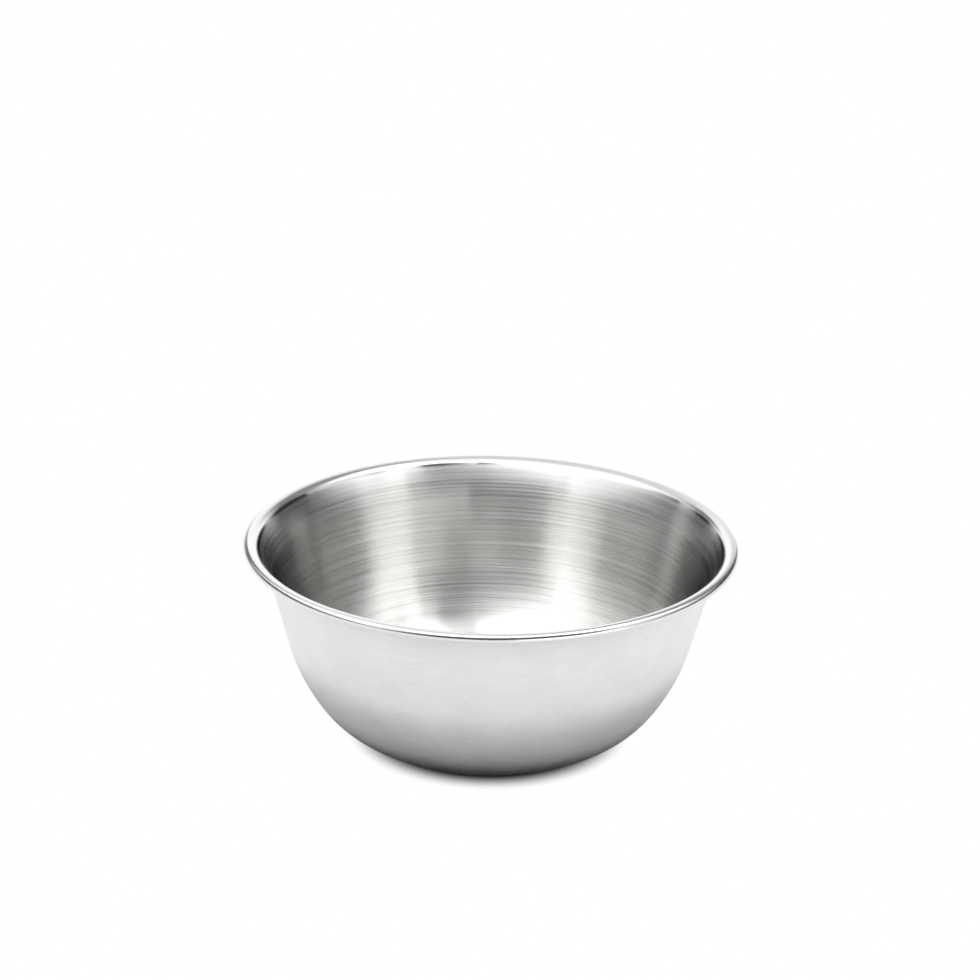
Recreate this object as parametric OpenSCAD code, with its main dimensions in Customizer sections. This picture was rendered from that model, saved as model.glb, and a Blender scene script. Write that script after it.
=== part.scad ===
// Prep bowl: one drawn sheet of stainless steel with a flat base, a rounded
// side and a flared rim that ends in a small turned-down lip.
// Millimetres, +Z up, the middle of the flat base at the origin.

/* [Rim] */
// Widest diameter, across the turned lip
rim_d = 200; // [150:1:260]
// Radius of the lip where it turns down, on its outside
lip_r = 1.9; // [1.4:0.1:3]
// Straight depth of the lip below its turn
lip_drop = 0.4; // [0.1:0.1:2]
// Level width on top of the rim
rim_flat = 0.5; // [0.2:0.1:4]
// Radius of the bend between flare and rim, on its upper side
roll_r = 4; // [2:0.1:8]

/* [Side] */
// Height over all
bowl_h = 84; // [68:1:110]
// Radius of the flare above the side, on its inside
flare_r = 60; // [30:1:90]
// Slope where the flare meets the bend of the rim, in degrees from level
flare_slope = 60; // [50:1:70]
// Slope of the straight part of the side, in degrees from level
side_slope = 75.5; // [72:0.5:84]
// Radius of the upper bend of the side, on its outside
side_r = 79; // [50:0.5:110]
// Slope where the upper bend meets the lower one, in degrees from level
foot_slope = 55; // [45:1:65]
// Radius of the lower bend of the side, on its outside
foot_r = 42; // [25:0.5:60]

/* [Sheet] */
// Thickness of the steel
sheet_t = 0.8; // [0.5:0.1:1.2]

/* [Smoothness] */
// Largest turn between two points of the side, in degrees
side_step = 2.5; // [1:0.5:5]
// Largest turn between two points of the rim, in degrees
rim_step = 7.5; // [3:0.5:15]
// Largest turn between two points of the sheet's edge, in degrees
edge_step = 15; // [6:1:30]
// Segments round the bowl
round_fn = 180; // [72:12:256]

/* [Output] */
// Which node to draw

/* [Hidden] */
STEEL = "#c4c6c7";
LEVEL = 0;
UPRIGHT = 90;
HALF_TURN = 180;

// Half the sheet, and the bend radii taken on the middle of the sheet
half_t = sheet_t / 2;
lip_m = lip_r - half_t;
roll_m = roll_r - half_t;
flare_m = flare_r - half_t;
side_m = side_r - half_t;
foot_m = foot_r - half_t;

// The path runs from the axis outward along the middle of the sheet. A
// station on it is [radius, height, slope], its slope in degrees from level.
function along(slope) = [cos(slope), sin(slope)];
function left_of(slope) = [-sin(slope), cos(slope)];
function spot(station) = [station[0], station[1]];

// Stations of a bend about centre c, from slope a to slope b. It turns up
// when its centre is on the left of the path, and down when on the right.
// The first station is left out, as the stretch before it ends there.
function bend(c, r, a, b, step) =
    let (side = sign(b - a), n = ceil(abs(b - a) / step))
    [for (i = [1 : n]) let (slope = a + (b - a) * i / n)
        [each (c - side * r * left_of(slope)), slope]];

// Centres of the bends, from the lip inward: where two bends meet, both
// centres lie on one line square to the path
lip_c = [rim_d / 2 - lip_r, bowl_h - lip_r];
roll_c = [lip_c[0] - rim_flat, bowl_h - roll_r];
flare_c = roll_c - (flare_m - roll_m) * left_of(flare_slope);
wall_top = flare_c + flare_m * left_of(side_slope);

// The two lower bends take up a set height, and the straight part of the
// side the rest of it
foot_rise = foot_m * (cos(LEVEL) - cos(foot_slope));
side_rise = side_m * (cos(foot_slope) - cos(side_slope));
wall_rise = wall_top[1] - half_t - foot_rise - side_rise;
wall_foot = wall_top - wall_rise / sin(side_slope) * along(side_slope);
side_c = wall_foot + side_m * left_of(side_slope);
foot_c = side_c - (side_m - foot_m) * left_of(foot_slope);

path = concat(
    [[0, half_t, LEVEL], [foot_c[0], half_t, LEVEL]],
    bend(foot_c, foot_m, LEVEL, foot_slope, side_step),
    bend(side_c, side_m, foot_slope, side_slope, side_step),
    [[each wall_top, side_slope]],
    bend(flare_c, flare_m, side_slope, flare_slope, side_step),
    bend(roll_c, roll_m, flare_slope, LEVEL, rim_step),
    [[lip_c[0], bowl_h - half_t, LEVEL]],
    bend(lip_c, lip_m, LEVEL, -UPRIGHT, rim_step),
    [[rim_d / 2 - half_t, lip_c[1] - lip_drop, -UPRIGHT]]
);
last = len(path) - 1;

// The edge of the sheet is rounded over its whole thickness
edge_end = bend(spot(path[last]), half_t, -UPRIGHT, -UPRIGHT - HALF_TURN, edge_step);

inner_side = [for (s = path) spot(s) + half_t * left_of(s[2])];
outer_side = [for (i = [last : -1 : 0]) spot(path[i]) - half_t * left_of(path[i][2])];
edge = [for (i = [0 : len(edge_end) - 2]) spot(edge_end[i])];

module bowl() {
    color(STEEL)
    rotate_extrude($fn = round_fn)
    polygon(concat(inner_side, edge, outer_side));
}

bowl();
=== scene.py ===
import math
import bpy
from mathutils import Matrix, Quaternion, Vector


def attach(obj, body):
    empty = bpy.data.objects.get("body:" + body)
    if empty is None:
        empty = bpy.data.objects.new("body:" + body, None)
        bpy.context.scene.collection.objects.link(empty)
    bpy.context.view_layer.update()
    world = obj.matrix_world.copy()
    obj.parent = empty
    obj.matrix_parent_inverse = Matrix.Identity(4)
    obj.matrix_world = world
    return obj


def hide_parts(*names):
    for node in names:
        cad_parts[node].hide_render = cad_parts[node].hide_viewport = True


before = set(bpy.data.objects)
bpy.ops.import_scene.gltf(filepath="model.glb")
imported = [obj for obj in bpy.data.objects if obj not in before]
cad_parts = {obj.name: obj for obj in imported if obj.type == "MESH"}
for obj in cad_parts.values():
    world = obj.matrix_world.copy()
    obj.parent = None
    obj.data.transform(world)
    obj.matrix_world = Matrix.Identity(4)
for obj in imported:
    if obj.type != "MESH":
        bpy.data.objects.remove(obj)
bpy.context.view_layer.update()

print("frame: loaded", sorted(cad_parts))


# Bowl: one drawn sheet. Its outline is walked from the middle of the
# underside out to the lip and back along the inside, then spun about the axis.
bowlMake = {
    "rimDiameter": 0.200,
    "height": 0.084,
    "sheet": 0.0008,
    "lipRadius": 0.0019,       # outside of the turned lip
    "lipDrop": 0.0004,         # straight depth below the turn
    "rimFlat": 0.0005,         # level width on top
    "rollRadius": 0.004,       # bend between flare and rim, upper side
    "flareRadius": 0.060,      # inside
    "flareSlope": 60,          # degrees from level, as all slopes here
    "sideSlope": 75.5,
    "sideRadius": 0.079,       # outside
    "footSlope": 55,
    "footRadius": 0.042,       # outside
    "sideStep": 1.25,          # degrees of turn between two rings
    "rimStep": 4.5,
    "edgeStep": 13.5,          # the same round the sheet's own edge
    "segments": 360,
    "weld": 0.000016,          # points closer than this become one
    "polishRadius": 0.0940,    # the polished rim begins at this radius inside
    "polishOutside": 0.0960,   # and ends at this radius outside
    "underside": 0.0365,       # radius of the flat underside
}


def along(slope):
    return Vector((math.cos(math.radians(slope)), 0, math.sin(math.radians(slope))))


def leftOf(slope):
    return Vector((-math.sin(math.radians(slope)), 0, math.cos(math.radians(slope))))


def bendCentres(make):
    # from the lip inward: where two bends meet, their centres and that point are in line
    height, half = make["height"], make["sheet"] / 2
    lip = Vector((make["rimDiameter"] / 2 - make["lipRadius"], 0, height - make["lipRadius"]))
    roll = Vector((lip.x - make["rimFlat"], 0, height - make["rollRadius"]))
    flare = roll - (make["flareRadius"] - make["rollRadius"]) * leftOf(make["flareSlope"])
    wallTop = flare + (make["flareRadius"] - half) * leftOf(make["sideSlope"])
    foot, side = make["footRadius"] - half, make["sideRadius"] - half
    footCos, sideCos = along(make["footSlope"]).x, along(make["sideSlope"]).x
    bendsRise = foot * (1 - footCos) + side * (footCos - sideCos)
    wallRise = wallTop.z - half - bendsRise
    wallFoot = wallTop - wallRise / along(make["sideSlope"]).z * along(make["sideSlope"])
    sideCentre = wallFoot + side * leftOf(make["sideSlope"])
    footCentre = sideCentre - (side - foot) * leftOf(make["footSlope"])
    return {"lip": lip, "roll": roll, "flare": flare, "side": sideCentre, "foot": footCentre}


def drawOutline(make):
    centres = bendCentres(make)
    half, drop = make["sheet"] / 2, Vector((0, 0, -make["lipDrop"]))
    bpy.ops.object.select_all(action="DESELECT")
    bpy.ops.mesh.primitive_plane_add(size=make["sheet"], location=(0, 0, 0))
    piece = bpy.context.object
    bpy.ops.object.mode_set(mode="EDIT")
    bpy.ops.mesh.select_all(action="SELECT")
    bpy.ops.mesh.merge(type="CENTER")
    pen = {"place": Vector((0, 0, 0))}

    def line(place):
        step = place - pen["place"]
        bpy.ops.mesh.extrude_region_move(TRANSFORM_OT_translate={"value": step})
        pen["place"] = place

    def bend(centre, turn, step):
        # turn is positive to the left, in degrees
        steps = math.ceil(abs(turn) / step)
        bpy.ops.mesh.spin(steps=steps, angle=math.radians(turn), center=centre, axis=(0, 1, 0))
        swing = Quaternion((0, -1, 0), math.radians(turn))
        pen["place"] = centre + swing @ (pen["place"] - centre)

    side, rim = make["sideStep"], make["rimStep"]
    footTurn = make["footSlope"]
    sideTurn = make["sideSlope"] - make["footSlope"]
    flareTurn = make["flareSlope"] - make["sideSlope"]
    rollTurn = -make["flareSlope"]
    lipTurn = -90
    lipEnd = centres["lip"] + drop + Vector((make["lipRadius"] - half, 0, 0))

    def wall(offset, back):
        # where the straight wall ends: at its top going out, at its foot coming back
        centre = centres["side"] if back else centres["flare"]
        radius = -make["sideRadius"] if back else make["flareRadius"]
        return centre + (radius + offset) * leftOf(make["sideSlope"])

    # out along the underside and the outside
    line(Vector((centres["foot"].x, 0, 0)))
    bend(centres["foot"], footTurn, side)
    bend(centres["side"], sideTurn, side)
    line(wall(-make["sheet"], False))
    bend(centres["flare"], flareTurn, side)
    bend(centres["roll"], rollTurn, rim)
    line(Vector((centres["lip"].x, 0, make["height"] - make["sheet"])))
    bend(centres["lip"], lipTurn, rim)
    line(pen["place"] + drop)
    # round the edge of the sheet, and back along the inside
    bend(lipEnd, 180, make["edgeStep"])
    line(pen["place"] - drop)
    bend(centres["lip"], -lipTurn, rim)
    line(Vector((centres["roll"].x, 0, make["height"])))
    bend(centres["roll"], -rollTurn, rim)
    bend(centres["flare"], -flareTurn, side)
    line(wall(make["sheet"], True))
    bend(centres["side"], -sideTurn, side)
    bend(centres["foot"], -footTurn, side)
    line(Vector((0, 0, make["sheet"])))
    return piece


def makeBowl(make):
    piece = drawOutline(make)
    bpy.ops.mesh.select_all(action="SELECT")
    bpy.ops.mesh.spin(steps=make["segments"], angle=2 * math.pi, center=(0, 0, 0), axis=(0, 0, 1))
    bpy.ops.mesh.select_all(action="SELECT")
    bpy.ops.mesh.remove_doubles(threshold=make["weld"])
    bpy.ops.mesh.normals_make_consistent(inside=False)
    bpy.ops.object.mode_set(mode="OBJECT")
    bpy.ops.object.transform_apply(location=True, rotation=True, scale=True)
    bpy.ops.object.shade_smooth()
    piece.name = piece.data.name = "steel_bowl"
    return piece


bowl = makeBowl(bowlMake)
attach(bowl, "root")
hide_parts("bowl")
print("bowl:", len(bowl.data.vertices), "points,", len(bowl.data.polygons), "faces")


# Shader sums: a Wire is a node's output, and a sum on it adds a Math node
class Wire:
    def __init__(self, tree, socket):
        self.tree, self.socket = tree, socket

    def math(self, operation, *others):
        return node(self.tree, "ShaderNodeMath", {"operation": operation}, [self, *others])

    def beside(self, output):
        # another output of the same node
        return Wire(self.tree, self.socket.node.outputs[output])

    def __add__(self, other):
        return self.math("ADD", other)

    def __sub__(self, other):
        return self.math("SUBTRACT", other)

    def __rsub__(self, other):
        return node(self.tree, "ShaderNodeMath", {"operation": "SUBTRACT"}, [other, self])

    def __mul__(self, other):
        return self.math("MULTIPLY", other)

    def __truediv__(self, other):
        return self.math("DIVIDE", other)

    __radd__, __rmul__ = __add__, __mul__


def node(tree, kind, settings, sockets, output=0):
    # any node: its settings first, then values or Wires for its sockets
    made = tree.nodes.new(kind)
    for name, value in settings.items():
        setattr(made, name, value)
    pairs = enumerate(sockets) if isinstance(sockets, list) else sockets.items()
    for name, value in pairs:
        if isinstance(value, Wire):
            tree.links.new(value.socket, made.inputs[name])
        else:
            made.inputs[name].default_value = value
    return Wire(tree, made.outputs[output]) if made.outputs else None


def newMaterial(name):
    material = bpy.data.materials.new(name)
    material.use_nodes = True
    material.node_tree.nodes.clear()
    return material, material.node_tree


def mixColour(tree, share, dark, light):
    # sockets 6 and 7 are the two colours of a Mix node, and output 2 is their mixture
    return node(tree, "ShaderNodeMix", {"data_type": "RGBA"},
                {0: share, 6: (*dark, 1), 7: (*light, 1)}, 2)


def smoothStep(tree, value, low, high):
    return node(tree, "ShaderNodeMapRange", {"interpolation_type": "SMOOTHSTEP"}, {
        "Value": value, "From Min": low, "From Max": high})


def objectSpot(tree):
    return node(tree, "ShaderNodeTexCoord", {}, [], "Object")


def alongAxes(tree):
    x = node(tree, "ShaderNodeSeparateXYZ", {}, [objectSpot(tree)], "X")
    return x, x.beside("Y"), x.beside("Z")


# Patterns on the bowl are laid out round its axis, and up its wall as if that
# were one arc about a point on the axis
patternMake = {
    "arcCentre": 0.080,        # height of that point
    "arcRadius": 0.084,
    "axisGap": 1e-10,          # keeps the axis itself from dividing by zero
    "lineRoughness": 0.55,     # of the noise that makes the lines
    "middle": 0.5,             # which every noise here swings about
}


def bowlPlace(tree, make):
    # where a point lies: its direction from the axis, its radius, and its way up the wall
    x, y, z = alongAxes(tree)
    radius = (x * x + y * y + make["axisGap"]).math("SQRT")
    wall = radius.math("ARCTAN2", make["arcCentre"] - z) * make["arcRadius"]
    return {"x": x / radius, "y": y / radius, "radius": radius, "wall": wall}


def noise(tree, vector, scale, detail, roughness):
    return node(tree, "ShaderNodeTexNoise", {}, {
        "Vector": vector, "Scale": scale, "Detail": detail, "Roughness": roughness})


def brushLines(tree, place, brush):
    # noise drawn out round the bowl: few cycles around, many to each metre across.
    # A tilt slants the lines like an off-centre brush, towards an azimuth in radians.
    side = place["x"] * math.cos(brush["towards"]) + place["y"] * math.sin(brush["towards"])
    vector = node(tree, "ShaderNodeCombineXYZ", {}, [
        place["x"] * brush["around"],
        place["y"] * brush["around"],
        place["wall"] * brush["across"] + brush["tilt"] * side])
    return noise(tree, vector, 1.0, brush["detail"], patternMake["lineRoughness"])


def steelShader(tree, look, colour, roughness, height):
    grainTurn = 0.25    # of a whole turn, so the grain runs round the bowl
    bump = node(tree, "ShaderNodeBump", {}, {
        "Strength": look["bumpStrength"], "Distance": look["bumpDepth"], "Height": height})
    shader = node(tree, "ShaderNodeBsdfPrincipled", {}, {
        "Base Color": colour, "Metallic": 1.0, "Roughness": roughness, "Normal": bump,
        "Specular Tint": look["grazing"], "Anisotropic": look["grain"],
        "Anisotropic Rotation": grainTurn})
    node(tree, "ShaderNodeOutputMaterial", {}, {"Surface": shader})


# Inside: brushed round and round, and getting smoother just below the polished rim.
# The lines are mostly a change of roughness, with a little tone and very little height.
insideLook = {
    "dark": (0.72, 0.715, 0.70),
    "light": (0.80, 0.80, 0.79),
    "grazing": (0.1, 0.1, 0.1, 1),     # tint at a grazing angle: it keeps the far walls dark
    "rough": 0.23,
    "roughSwing": 0.20,
    "grain": 1.0,
    "bumpStrength": 1.0,
    "bumpDepth": 0.00001,
    "fine": {"around": 0.7, "across": 2300, "tilt": 1, "towards": 0.4, "detail": 1},
    "broad": {"around": 0.5, "across": 1200, "tilt": 0.5, "towards": 2.1, "detail": 1},
    "fineShare": 0.5,
    "tone": (0.38, 0.62),              # the lines' noise goes from dark to light between these
    "lone": {"around": 1.2, "across": 900, "tilt": 3, "towards": 4.0, "detail": 0},
    "scratch": (0.66, 0.82),           # a lone scratch is where its noise passes these
    "scratchTone": 0.2,
    "scratchHeight": 0.15,
    "polishedRough": 0.09,             # just below the rim
    "blend": 0.0008,                   # over this width
}


def brushedSteel(look):
    material, tree = newMaterial("brushed_inside")
    place = bowlPlace(tree, patternMake)
    fine, broad = (brushLines(tree, place, look[name]) for name in ("fine", "broad"))
    lines = fine * look["fineShare"] + broad * (1 - look["fineShare"])
    scratches = smoothStep(tree, brushLines(tree, place, look["lone"]), *look["scratch"])
    tone = smoothStep(tree, lines + scratches * look["scratchTone"], *look["tone"])
    edge = bowlMake["polishRadius"]
    polish = smoothStep(tree, place["radius"], edge - look["blend"], edge)
    rough = look["rough"] + look["roughSwing"] * (lines - patternMake["middle"])
    rough = rough * (1 - polish) + look["polishedRough"] * polish
    height = (lines + look["scratchHeight"] * scratches) * (1 - polish)
    colour = mixColour(tree, tone, look["dark"], look["light"])
    steelShader(tree, look, colour, rough, height)
    return material


# Rim and lip: polished, with a soft haze
rimLook = {
    "dark": (0.80, 0.80, 0.795),
    "light": (0.86, 0.86, 0.855),
    "grazing": (1, 1, 1, 1),
    "rough": 0.24,
    "roughSwing": 0.04,
    "grain": 0.0,
    "bumpStrength": 0.02,
    "bumpDepth": 0.00002,
    "lines": {"around": 9, "across": 700, "tilt": 3, "towards": 1.0, "detail": 2},
}


def polishedSteel(look):
    material, tree = newMaterial("polished_rim")
    lines = brushLines(tree, bowlPlace(tree, patternMake), look["lines"])
    rough = look["rough"] + look["roughSwing"] * (lines - patternMake["middle"])
    colour = mixColour(tree, lines, look["dark"], look["light"])
    steelShader(tree, look, colour, rough, lines)
    return material


# Outside: satin, with fine mottling and a trace of lines from the turning
outsideLook = {
    "dark": (0.80, 0.80, 0.79),
    "light": (0.86, 0.86, 0.85),
    "grazing": (1, 1, 1, 1),
    "rough": 0.34,
    "roughSwing": 0.08,
    "grain": 0.25,
    "bumpStrength": 0.10,
    "bumpDepth": 0.00003,
    "cloud": (60.0, 4.0, 0.6),         # scale, detail and roughness of the noise
    "speck": (700.0, 2.0, 0.5),
    "lines": {"around": 6, "across": 1100, "tilt": 4, "towards": 3.0, "detail": 2},
    "toneShares": (0.5, 0.25, 0.25),   # of cloud, speck and lines
    "tone": (0.36, 0.64),
    "speckHeight": 0.6,                # the lines have the rest of the height
}


def satinSteel(look):
    material, tree = newMaterial("satin_outside")
    spot = objectSpot(tree)
    cloud, speck = (noise(tree, spot, *look[name]) for name in ("cloud", "speck"))
    lines = brushLines(tree, bowlPlace(tree, patternMake), look["lines"])
    cloudShare, speckShare, linesShare = look["toneShares"]
    mottle = cloud * cloudShare + speck * speckShare + lines * linesShare
    tone = smoothStep(tree, mottle, *look["tone"])
    rough = look["rough"] + look["roughSwing"] * (cloud - patternMake["middle"])
    height = speck * look["speckHeight"] + lines * (1 - look["speckHeight"])
    colour = mixColour(tree, tone, look["dark"], look["light"])
    steelShader(tree, look, colour, rough, height)
    return material


def dressBowl(piece, make):
    # a face takes its finish from where it lies and which way it looks
    piece.data.materials.clear()
    for material in (brushedSteel(insideLook), polishedSteel(rimLook), satinSteel(outsideLook)):
        piece.data.materials.append(material)
    inside, rim, outside = 0, 1, 2
    lipFoot = make["height"] - make["lipRadius"] - make["lipDrop"] - make["sheet"]
    for face in piece.data.polygons:
        centre, normal = face.center, face.normal
        radius = math.hypot(centre.x, centre.y)
        outward = centre.x * normal.x + centre.y * normal.y
        facesIn = normal.z > 0 and (outward < 0 or radius < make["underside"])
        if facesIn and radius < make["polishRadius"]:
            face.material_index = inside
        elif facesIn or (radius > make["polishOutside"] and centre.z > lipFoot):
            face.material_index = rim
        else:
            face.material_index = outside


dressBowl(bowl, bowlMake)
print("bowl: dressed with", [m.name for m in bowl.data.materials])


# Floor: pale and plain. Near the bowl it keeps the light and the bowl's shadow,
# farther out it is the white of the background, for the camera and in the steel.
# Right under the bowl its colour is painted dark: a painted shadow that deepens the
# bowl's own contact shadow. Radii are from the bowl's axis.
floorMake = {
    "width": 12.0,
    "drop": 0.0001,            # just below the underside
    "colour": (0.68, 0.68, 0.68),
    # painted shadow: the floor's colour is this dark up to the first radius below, and back to
    # its plain colour by the second
    "paintedShadowColour": (0.05, 0.05, 0.05),
    "paintedShadowNear": 0.052,             # darker up to this radius
    "far": 0.080,              # and no longer from this one
    "seenShadow": 0.046,       # the shadow that the camera sees fades from this radius
    "seenWhite": 0.060,        # to this one
    "steelShadow": 0.085,      # and the one that the steel reflects from this radius
    "steelWhite": 0.130,       # to this one
}


def makeFloor(make):
    bpy.ops.object.select_all(action="DESELECT")
    bpy.ops.mesh.primitive_plane_add(size=make["width"], location=(0, 0, -make["drop"]))
    floor = bpy.context.object
    bpy.ops.object.transform_apply(location=True, rotation=True, scale=True)
    floor.name = "floor"
    material, tree = newMaterial("floor_white")
    radius = bowlPlace(tree, patternMake)["radius"]
    camera = node(tree, "ShaderNodeLightPath", {}, [], "Is Camera Ray")
    mirrored = camera.beside("Is Glossy Ray") + camera.beside("Is Transmission Ray")
    seen = smoothStep(tree, radius, make["seenShadow"], make["seenWhite"]) * camera
    steel = smoothStep(tree, radius, make["steelShadow"], make["steelWhite"]) * mirrored
    # painted shadow: a dark diffuse colour right under the bowl, fading into the plain floor
    paintedShadowNear, far = (node(tree, "ShaderNodeBsdfDiffuse", {}, {"Color": (*make[name], 1)})
                 for name in ("paintedShadowColour", "colour"))
    share = smoothStep(tree, radius, make["paintedShadowNear"], make["far"])
    lit = node(tree, "ShaderNodeMixShader", {}, [share, paintedShadowNear, far])
    white = node(tree, "ShaderNodeEmission", {}, {"Strength": 1.0})
    both = node(tree, "ShaderNodeMixShader", {}, [(seen + steel).math("MINIMUM", 1), lit, white])
    node(tree, "ShaderNodeOutputMaterial", {}, {"Surface": both})
    floor.data.materials.append(material)


makeFloor(floorMake)
print("floor: laid")


# World: white behind everything and in the steel
worldMake = {"colour": (1, 1, 1, 1), "level": 1.0}


def makeWorld(make):
    world = bpy.data.worlds.new("studio")
    bpy.context.scene.world = world
    world.use_nodes = True
    tree = world.node_tree
    tree.nodes.clear()
    background = node(tree, "ShaderNodeBackground", {}, {
        "Color": make["colour"], "Strength": make["level"]})
    node(tree, "ShaderNodeOutputWorld", {}, {"Surface": background})


makeWorld(worldMake)
print("world: white")


# Light tent: round the bowl and not seen itself. Its cloth is dark, and soft
# windows in it light the bowl and show in the steel. Azimuth runs from +X to +Y
# and elevation up from level, in degrees; a level of 1 is white. A window may
# lean, by that many degrees up for each degree of azimuth from its middle. A
# later window lies over an earlier one.
tentMake = {
    "radius": 0.60,
    "segments": 96,
    "rings": 48,
    "cloth": 0.03,
    "roofFade": 0.06,          # the fades are widths on each side of a window's edge
    "lowest": 0.001,           # the roof's window is worked out no nearer the table than this
}
# the roof's window, in metres for each metre above the table
roofWindow = {"right": 0.15, "back": 0.13, "halfWidth": 1.75, "halfDepth": 0.67, "level": 0.95}
tentWindows = {
    "around": {"azimuth": 0, "width": 420, "low": -20, "high": 10, "level": 0.95,
               "fade": 3},
    "frontLow": {"azimuth": 305, "width": 45, "low": -20, "high": 18, "level": 1.9,
                 "fade": 2},
    "frontRoof": {"azimuth": 300, "width": 40, "low": 55, "high": 73, "level": 1.7,
                  "lean": 0.2, "fade": 2},
    "backLeft": {"azimuth": 115, "width": 75, "low": 25, "high": 85, "level": 0.8,
                 "lean": -0.1, "fade": 3},
    "frontLeft": {"azimuth": 240, "width": 90, "low": 45, "high": 75, "level": 3.0,
                  "lean": 0.3, "fade": 3},
    "leftBox": {"azimuth": 225, "width": 20, "low": 20, "high": 45, "level": 0.6,
                "fade": 5},
    "rightBox": {"azimuth": 355, "width": 75, "low": 45, "high": 73, "level": 2.8,
                 "lean": -0.1, "fade": 4},
    "back": {"azimuth": 90, "width": 65, "low": -20, "high": 35, "level": 1.2,
             "lean": 0.2, "fade": 8},
    "left": {"azimuth": 190, "width": 70, "low": 30, "high": 60, "level": 1.5,
             "lean": -0.25, "fade": 3},
    "darkRight": {"azimuth": 50, "width": 60, "low": 35, "high": 65, "level": 0.25,
                  "lean": 0.2, "fade": 5},
    "rightTall": {"azimuth": 335, "width": 30, "low": 15, "high": 45, "level": 0.85,
                  "lean": 0.4, "fade": 2},
    "darkBack": {"azimuth": 125, "width": 25, "low": 20, "high": 40, "level": 0.1,
                 "fade": 3},
}


def between(tree, value, low, high, fade):
    rise = smoothStep(tree, value, low - fade, low + fade)
    fall = smoothStep(tree, value, high - fade, high + fade)
    return rise * (1 - fall)


def windowMask(tree, x, y, elevation, window):
    # azimuth is taken from the window's middle, so that it never wraps inside it
    turn, half = math.radians(window["azimuth"]), window["width"] / 2
    ahead = x * math.cos(turn) + y * math.sin(turn)
    aside = y * math.cos(turn) - x * math.sin(turn)
    azimuth = aside.math("ARCTAN2", ahead).math("DEGREES")
    across = between(tree, azimuth, -half, half, window["fade"])
    leaning = elevation - window.get("lean", 0) * azimuth
    return across * between(tree, leaning, window["low"], window["high"], window["fade"])


def roofMask(tree, x, y, z, make, roof):
    above = z.math("MAXIMUM", make["lowest"])
    right = between(tree, x / above, roof["right"] - roof["halfWidth"],
                    roof["right"] + roof["halfWidth"], make["roofFade"])
    back = between(tree, y / above, roof["back"] - roof["halfDepth"],
                   roof["back"] + roof["halfDepth"], make["roofFade"])
    return right * back


def makeTent(make, roof, windows):
    bpy.ops.object.select_all(action="DESELECT")
    bpy.ops.mesh.primitive_uv_sphere_add(
        segments=make["segments"], ring_count=make["rings"], radius=make["radius"])
    tent = bpy.context.object
    tent.name = "light_tent"
    bpy.ops.object.shade_smooth()
    tent.visible_camera = False
    material, tree = newMaterial("tent_cloth")
    x, y, z = alongAxes(tree)
    elevation = z.math("ARCTAN2", (x * x + y * y).math("SQRT")).math("DEGREES")
    level = make["cloth"] + roofMask(tree, x, y, z, make, roof) * (roof["level"] - make["cloth"])
    for window in windows.values():
        level = level + windowMask(tree, x, y, elevation, window) * (window["level"] - level)
    glow = node(tree, "ShaderNodeEmission", {}, {"Color": level, "Strength": 1.0})
    node(tree, "ShaderNodeOutputMaterial", {}, {"Surface": glow})
    tent.data.materials.append(material)


makeTent(tentMake, roofWindow, tentWindows)
print("light tent: one roof window and", len(tentWindows), "round it")


# Camera: looks down at the bowl from the front, aimed a little above its rim
cameraMake = {
    "distance": 1.100,         # to the middle of the rim
    "elevation": 21.57,        # degrees
    "aimUp": 0.01917,          # across the view, from the middle of the rim
    "aimRight": -0.00082,
    "lens": 99.8,
    "sensor": 36,
    "roll": 1.08,              # degrees; the right of the picture dips
    "nearest": 0.01,
    "farthest": 100,
}


def makeCamera(make):
    rise = math.radians(make["elevation"])
    rim = Vector((0, 0, bowlMake["height"]))
    back = Vector((0, -math.cos(rise), math.sin(rise)))
    up = Vector((0, math.sin(rise), math.cos(rise)))
    eye = rim + make["distance"] * back
    aim = rim + make["aimUp"] * up + make["aimRight"] * Vector((1, 0, 0))
    camera = bpy.data.objects.new("camera", bpy.data.cameras.new("camera"))
    bpy.context.scene.collection.objects.link(camera)
    camera.data.lens, camera.data.sensor_width = make["lens"], make["sensor"]
    camera.data.clip_start, camera.data.clip_end = make["nearest"], make["farthest"]
    camera.location = eye
    look = (aim - eye).to_track_quat("-Z", "Y")
    camera.rotation_mode = "QUATERNION"
    camera.rotation_quaternion = look @ Quaternion((0, 0, 1), math.radians(make["roll"]))
    bpy.context.scene.camera = camera


makeCamera(cameraMake)
bpy.context.scene.view_settings.view_transform = "Standard"
print("camera: set")
